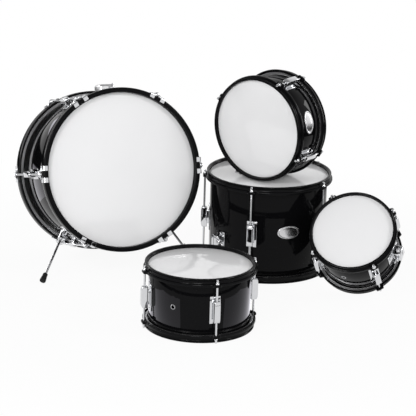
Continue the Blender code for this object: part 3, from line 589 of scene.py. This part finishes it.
def add_eyelet(drum, clock):
    grommet = [(0.0042, -0.006), (0.0042, 0.0004), (0.0048, 0.0010), (0.0060, 0.0009), (0.0068, 0.0001),
               (0.0068, -0.0006), (0.0046, -0.0008), (0.0046, -0.006)]
    mesh, out = lathe(grommet, even(40)), ray(clock)
    mesh.transform(Matrix.Translation(out * drum.radius + Vector((0, 0, drum.height / 2))) @ aimed(out))
    piece(f"{drum.name}_vent_eyelet", mesh, EYELET, drum.name, drum.matrix)


def add_badge(drum, clock, z, sides=72):
    """Plain domed oval that follows the shell, with a raised border and nothing on it.

    Rings are (share of the half size, lift off the shell), from the middle to the edge and its back.
    """
    rings = [(0.35, 0.0015), (0.6, 0.0013), (0.78, 0.0010), (0.82, 0.0008), (0.86, 0.0014), (0.92, 0.0017),
             (0.97, 0.0014), (1.0, 0.0004), (1.0, -0.0008)]
    points = [(drum.radius + 0.0016, 0.0, z)]
    for share, lift in rings:
        for k in range(sides):
            angle, radius = 2 * math.pi * k / sides, drum.radius + lift
            bend = BADGE_HALF_WIDE * share * math.cos(angle) / drum.radius
            points.append((radius * math.cos(bend), radius * math.sin(bend),
                           z + BADGE_HALF_TALL * share * math.sin(angle)))
    faces = [(0, 1 + k, 1 + (k + 1) % sides) for k in range(sides)]
    for ring in range(len(rings) - 1):
        here, there = 1 + ring * sides, 1 + (ring + 1) * sides
        faces += [(here + k, there + k, there + (k + 1) % sides, here + (k + 1) % sides)
                  for k in range(sides)]
    faces.append([1 + (len(rings) - 1) * sides + k for k in range(sides)])
    piece(f"{drum.name}_badge", closed(points, faces), BADGE, drum.name,
          drum.matrix @ clock_turn(clock), sharp=50)


# Brackets, wing screws and spurs

def wing_mesh():
    """Screw with a collar and two rounded wings, along Z."""
    stem = turned([(0.0030, 0), (0.0034, 0.0006), (0.0052, 0.0030), (0.0054, 0.0052), (0.0044, 0.0066)],
                  (0, 0, 0), (0, 0, 1), 28)
    wing = [(0.0030, 0.0030), (0.0064, 0.0040), (0.0118, 0.0092), (0.0125, 0.0118), (0.0112, 0.0140),
            (0.0088, 0.0142), (0.0066, 0.0118), (0.0040, 0.0072)]
    outline = wing + [(0.0, 0.0062)] + [(-x, z) for x, z in wing[::-1]]
    return joined([stem, extruded(outline, 0.0030, 0.0010, segments=3)])


WINGS = wing_mesh()


def add_screw(name, matrix, start, direction, across):
    """Wing screw at start, along direction, with its wings spread towards across."""
    direction, across = Vector(direction).normalized(), Vector(across)
    across = (across - direction * across.dot(direction)).normalized()
    axes = Matrix((across, direction.cross(across), direction)).transposed().to_4x4()
    piece(name + "_wings", WINGS.copy(), CHROME, name, matrix @ Matrix.Translation(start) @ axes,
          [name])


def clamp_screw_places(drum, clamp, z):
    """Places of the two small screws, on the longer way of the clamp's plate."""
    wide, tall = clamp.base
    for sign in (-1, 1):
        if wide > tall:
            turn = sign * (wide / 2 - clamp.screw_inset) / drum.radius
            yield Matrix.Translation((0, 0, z)) @ Matrix.Rotation(turn, 4, "Z")
        else:
            yield Matrix.Translation((0, 0, z + sign * (tall / 2 - clamp.screw_inset)))


def clamp_mesh(drum, clamp, z):
    """Curved plate and a block with a slit hole along the drum. Also gives the hole's distance out."""
    wide, tall = clamp.base
    face = drum.radius + CLAMP_OUT
    plate = curved_plate(drum.radius, CLAMP_PLATE, CLAMP_SINK, wide, *around(z, tall / 2), 0.0010)
    block = span((drum.radius, face), around(0, clamp.block[0] / 2), around(z, clamp.block[1] / 2),
                 0.0030, 3)
    hole_x = face - CLAMP_WALL - clamp.hole
    hole = turned([(clamp.hole, 0), (clamp.hole, 0.2)], (hole_x, 0, z - 0.1), (0, 0, 1), 32)
    slit = span((hole_x, face + 0.01), around(0, CLAMP_HALF_SLIT), around(z, clamp.block[1]))
    parts = [plate, carved(block, [hole, slit])]
    for at in clamp_screw_places(drum, clamp, z):
        head = turned([(0.0032, 0), (0.0030, 0.0010), (0.0018, 0.0018)], (drum.radius + 0.0028, 0, 0),
                      (1, 0, 0), 20)
        head.transform(at)
        parts.append(head)
    return joined(parts), hole_x


def add_clamp(drum, clamp, z, clock, bracket, screw, side):
    """Bracket on a shell, with its wing screw on one side of the block."""
    mesh, hole_x = clamp_mesh(drum, clamp, z)
    matrix = drum.matrix @ clock_turn(clock)
    piece(bracket, mesh, CHROME, drum.name, matrix, [drum.name + "_shell"])
    add_screw(screw, matrix, (hole_x, side * (clamp.block[0] / 2 + CLEAR), z), (0, side, 0), WING_TILT)


def foot_plate(y, z):
    """Flat plate of a bass drum's bracket."""
    return span((BASS.radius - FOOT_PLATE_SINK, BASS.radius + FOOT_PLATE), y, z, 0.0012)


def make_holder():
    """Socket for the tom holder's post on top of the bass drum."""
    matrix, top = BASS.matrix @ clock_turn(HOLDER_CLOCK), BASS.radius + HOLDER_OUT
    base = foot_plate((-0.030, 0.022), around(HOLDER_HEIGHT, 0.033))
    block = span((BASS.radius, top), around(0, HOLDER_HALF_WIDE), around(HOLDER_HEIGHT, HOLDER_HALF_TALL),
                 0.0080, 5)
    bore = turned([(HOLDER_BORE, 0), (HOLDER_BORE, 0.1)], (BASS.radius + 0.003, 0, HOLDER_HEIGHT),
                  (1, 0, 0), 40)
    slit = span((BASS.radius + 0.006, top + 0.01), (-0.04, 0.0), around(HOLDER_HEIGHT, HOLDER_HALF_SLIT))
    piece("bass_tom_holder", joined([base, carved(block, [bore, slit])]), SATIN, "bass", matrix,
          ["bass_shell"])
    start = (BASS.radius + HOLDER_SCREW_OUT, -HOLDER_HALF_WIDE / 2,
             HOLDER_HEIGHT + HOLDER_HALF_TALL + CLEAR)
    add_screw("bass_holder_wing_screw", matrix, start, (0, 0, 1), (1, 0, 0))


def rubber_mesh(tip):
    """Rubber foot whose open end takes the rod and whose lower end reaches tip."""
    bore, length = SPUR_TUNNEL, SPUR_RUBBER_LENGTH
    outside = [(0.0046, 0.0), (0.0060, 0.0008), (0.0066, 0.0040), (0.0064, 0.0080), (0.0074, 0.0140),
               (0.0081, 0.0200), (SPUR_RUBBER, 0.0238), (0.0076, 0.0253), (0.0060, length)]
    cup = lathe([(bore, 0.0), *outside, (bore, length)], even(36))
    cap = turned([(0.0040, 0.0205), (0.0040, 0.0259)], (0, 0, 0), (0, 0, 1), 24)
    rubber = joined([cup, cap])
    rubber.transform(Matrix.Translation((0, 0, tip - length)))
    return rubber


def make_spur(hand, clock, foot):
    """Bracket with a sleeve, and the rod that goes through it down to a rubber foot on the floor."""
    matrix = BASS.matrix @ clock_turn(clock)
    grip = Vector((BASS.radius + SPUR_GRIP_OUT, 0, SPUR_GRIP_HEIGHT))
    along = KIT + Vector((*foot, 0)) - matrix @ grip
    length = along.length
    along.normalize()
    length -= SPUR_RUBBER * math.sqrt(1 - along.z ** 2) / -along.z
    rod_dir = matrix.to_3x3().inverted() @ along

    plate = foot_plate(around(0, SPUR_PLATE_HALF[0]), around(SPUR_GRIP_HEIGHT, SPUR_PLATE_HALF[1]))
    neck = rod((BASS.radius, 0, SPUR_GRIP_HEIGHT), grip, SPUR_NECK)
    soften, sleeve_length = 0.0008, 2 * SPUR_SLEEVE_HALF
    edge = SPUR_SLEEVE - soften
    sleeve = turned([(edge, 0), (SPUR_SLEEVE, soften), (SPUR_SLEEVE, sleeve_length - soften),
                     (edge, sleeve_length)], grip - rod_dir * SPUR_SLEEVE_HALF, rod_dir)
    tunnel = turned([(SPUR_TUNNEL, 0), (SPUR_TUNNEL, 2 * SPUR_TUNNEL_HALF)],
                    grip - rod_dir * SPUR_TUNNEL_HALF, rod_dir)
    bracket = joined([plate, carved(neck, [tunnel.copy()]), carved(sleeve, [tunnel])])
    piece(f"bass_spur_bracket_{hand}", bracket, CHROME, "bass", matrix, ["bass_shell"])

    rod_matrix = Matrix.Translation(matrix @ grip) @ aimed(along)
    rod_end = length - SPUR_RUBBER_LENGTH + SPUR_ROD_IN_RUBBER
    leg = rod((0, 0, -SPUR_ROD_BACK), (0, 0, rod_end), SPUR_ROD)
    piece(f"bass_spur_{hand}_leg", leg, SPUR, f"spur_{hand}", rod_matrix,
          [f"bass_spur_rod_{hand}"])
    piece(f"bass_spur_{hand}_rubber", rubber_mesh(length), RUBBER, f"spur_{hand}",
          rod_matrix, [f"bass_spur_foot_{hand}"])

    outwards = (Vector((1, 0, 0)) - rod_dir * rod_dir.x).normalized()
    sideways = rod_dir.cross(outwards)
    if (matrix.to_3x3() @ sideways).z > 0:
        sideways.negate()
    direction = (sideways + SPUR_SCREW_LEAN * outwards).normalized()
    add_screw(f"bass_spur_wing_screw_{hand}", matrix, grip + direction * (SPUR_SLEEVE + CLEAR), direction,
              rod_dir)


for drum, vent in VENTS:
    make_drum(drum, BASS_BUILD if drum is BASS else TOM_BUILD, vent)
    add_eyelet(drum, vent)
for drum, clock, z in BADGES:
    add_badge(drum, clock, z)
for number, clock in enumerate(LEG_CLOCKS, 1):
    add_clamp(FLOOR, LEG_CLAMP, LEG_CLAMP_HEIGHT, clock, f"floor_tom_leg_bracket_{number}",
              f"floor_tom_wing_screw_{number}", 1)
for tom, clock in ARM_CLOCKS:
    add_clamp(tom, ARM_CLAMP, tom.height / 2, clock, tom.name + "_arm_mount", tom.name + "_wing_screw", -1)
make_holder()
for hand, clock, foot in SPURS:
    make_spur(hand, clock, foot)


# Floor, world and light

FLOOR_RADIUS, FLOOR_DROP = 1.5, 0.0004
PANEL_TINT, PANEL_RISE = (0.92, 0.90, 1.0), 0.002
FRONT_SHELL, BASS_SHELL = "front_drum_wood_shell", "bass_wood_shell"
# Name, place, height above the floor's middle that it aims at, size and watts
SOFT_BOXES = (("key", (-1.4, -2.5, 2.3), 0.20, (0.7, 0.7), 32),
              ("fill", (2.4, -1.0, 2.0), 0.20, (0.6, 0.6), 18),
              ("front", (-0.3, -3.6, 1.4), 0.20, (1.0, 0.8), 34),
              ("rim_left", (-2.0, 1.2, 0.8), 0.25, (0.4, 1.2), 12),
              ("rim_right", (2.0, 1.2, 0.8), 0.25, (0.4, 1.2), 10))
# Panels that face up: name, place, turn, size, watts and the shell that mirrors it
FLOOR_PANELS = (("panel_left", (-0.3732, -0.3480), 47.0, (0.75, 0.55), 3.2, FRONT_SHELL),
                ("panel_right", (0.3502, -0.2601), -32.0, (0.75, 0.55), 2.4, FRONT_SHELL),
                ("panel_bass", (-0.95, 0.75), 45.0, (1.2, 0.9), 3.5, BASS_SHELL))


def both(nodes, links, kind, first, second):
    made = nodes.new("ShaderNodeMath")
    made.operation = kind
    links.new(first, made.inputs[0])
    links.new(second, made.inputs[1])
    return made.outputs[0]


def seen_rays(nodes, links):
    """1 for camera, glossy and transmission rays, 0 for the rest."""
    path = nodes.new("ShaderNodeLightPath")
    total = path.outputs["Is Camera Ray"]
    for kind in ("Is Glossy Ray", "Is Transmission Ray"):
        total = both(nodes, links, "MAXIMUM", total, path.outputs[kind])
    return total


def ramp(nodes, links, value, start, end, low, high):
    """Smooth step from low to high as value goes from start to end."""
    step = nodes.new("ShaderNodeMapRange")
    step.interpolation_type = "SMOOTHSTEP"
    for key, number in (("From Min", start), ("From Max", end), ("To Min", low), ("To Max", high)):
        step.inputs[key].default_value = number
    links.new(value, step.inputs["Value"])
    return step.outputs["Result"]


def floor_material():
    """Pale grey; the camera and reflections see it lifted towards white, most of all at its edge."""
    made, nodes, links, shader = new_material("pale_floor")
    shader.inputs["Base Color"].default_value = (0.80, 0.80, 0.80, 1)
    shader.inputs["Roughness"].default_value = 0.9
    shader.inputs["Specular IOR Level"].default_value = 0.1
    where, length = nodes.new("ShaderNodeTexCoord"), nodes.new("ShaderNodeVectorMath")
    length.operation = "LENGTH"
    links.new(where.outputs["Object"], length.inputs[0])
    lift = ramp(nodes, links, length.outputs["Value"], 0.6, 1.3, 0.93, 1.0)
    glow, mix = nodes.new("ShaderNodeEmission"), nodes.new("ShaderNodeMixShader")
    links.new(both(nodes, links, "MULTIPLY", seen_rays(nodes, links), lift), mix.inputs[0])
    links.new(shader.outputs[0], mix.inputs[1])
    links.new(glow.outputs[0], mix.inputs[2])
    links.new(mix.outputs[0], nodes["Material Output"].inputs["Surface"])
    return made


def make_floor(sides=128):
    mesh = bpy.data.meshes.new("floor")
    mesh.from_pydata([tuple(ray(clock) * FLOOR_RADIUS) for clock in even(sides)], [],
                     [list(range(sides))[::-1]])
    mesh.materials.append(floor_material())
    floor = bpy.data.objects.new("floor", mesh)
    bpy.context.collection.objects.link(floor)
    floor.location.z = -FLOOR_DROP


def make_world():
    """White to the camera; reflections see it white from the horizon up, dimmer overhead and dark below.
    """
    world = bpy.data.worlds.new("studio")
    world.use_nodes = True
    nodes, links = world.node_tree.nodes, world.node_tree.links
    back = nodes["Background"]
    back.inputs["Color"].default_value = (1, 1, 1, 1)
    where, split = nodes.new("ShaderNodeTexCoord"), nodes.new("ShaderNodeSeparateXYZ")
    links.new(where.outputs["Generated"], split.inputs[0])
    height = split.outputs["Z"]
    walls = both(nodes, links, "MULTIPLY", ramp(nodes, links, height, -0.06, -0.04, 0.0, 1.0),
                 ramp(nodes, links, height, 0.45, 0.85, 1.0, 0.30))
    level = ramp(nodes, links, seen_rays(nodes, links), 0.0, 1.0, 0.80, 1.0)
    total = both(nodes, links, "MAXIMUM", both(nodes, links, "MULTIPLY", walls, level),
                 nodes["Light Path"].outputs["Is Camera Ray"])
    links.new(total, back.inputs["Strength"])
    bpy.context.scene.world = world


def look_at(thing, aim):
    thing.rotation_euler = (Vector(aim) - thing.location).to_track_quat("-Z", "Y").to_euler()


def soft_box(name, location, size, power):
    data = bpy.data.lights.new(name, "AREA")
    data.shape = "RECTANGLE"
    data.size, data.size_y = size
    data.energy = power
    lamp = bpy.data.objects.new(name, data)
    bpy.context.collection.objects.link(lamp)
    lamp.location = location
    lamp.visible_camera = False
    return lamp


def only_reflected(lamp, shell):
    """Make a lamp show only as a reflection in one shell, like what the real one mirrors."""
    lamp.visible_diffuse = False
    lamp.data.color = PANEL_TINT
    seen_by = bpy.data.collections.new(lamp.name + "_seen_by")
    seen_by.objects.link(bpy.data.objects[shell])
    lamp.light_linking.receiver_collection = seen_by


make_floor()
make_world()
for name, location, aim_height, size, power in SOFT_BOXES:
    look_at(soft_box(name, location, size, power), (0, 0, aim_height))
for name, spot, turn, size, power, shell in FLOOR_PANELS:
    panel = soft_box(name, (*spot, PANEL_RISE), size, power)
    panel.rotation_euler = (math.pi, 0, math.radians(turn))
    only_reflected(panel, shell)
panel_back = soft_box("panel_back", (-1.39, 1.22, 0.76), (1.0, 0.55), 5)
look_at(panel_back, (-0.43, 0.15, 0.35))
only_reflected(panel_back, BASS_SHELL)

# Camera, fitted to the photograph; the focal length is in its pixels

PHOTO_WIDTH, FOCAL_LENGTH, SENSOR = 416, 2020, 36.0
CAMERA_FROM_KIT = Vector((-0.1615, -5.2152, 1.7725))
CAMERA_DIP, CAMERA_ROLL = 0.3008, 0.0273

camera_data = bpy.data.cameras.new("camera")
camera_data.sensor_width = SENSOR
camera_data.lens = SENSOR * FOCAL_LENGTH / PHOTO_WIDTH
camera_data.clip_end = 40.0
camera = bpy.data.objects.new("camera", camera_data)
bpy.context.collection.objects.link(camera)
camera.matrix_world = (Matrix.Translation(KIT + CAMERA_FROM_KIT)
                       @ Matrix.Rotation(math.pi / 2 - CAMERA_DIP, 4, "X")
                       @ Matrix.Rotation(CAMERA_ROLL, 4, "Z"))
bpy.context.scene.camera = camera
bpy.context.scene.view_settings.view_transform = "Standard"
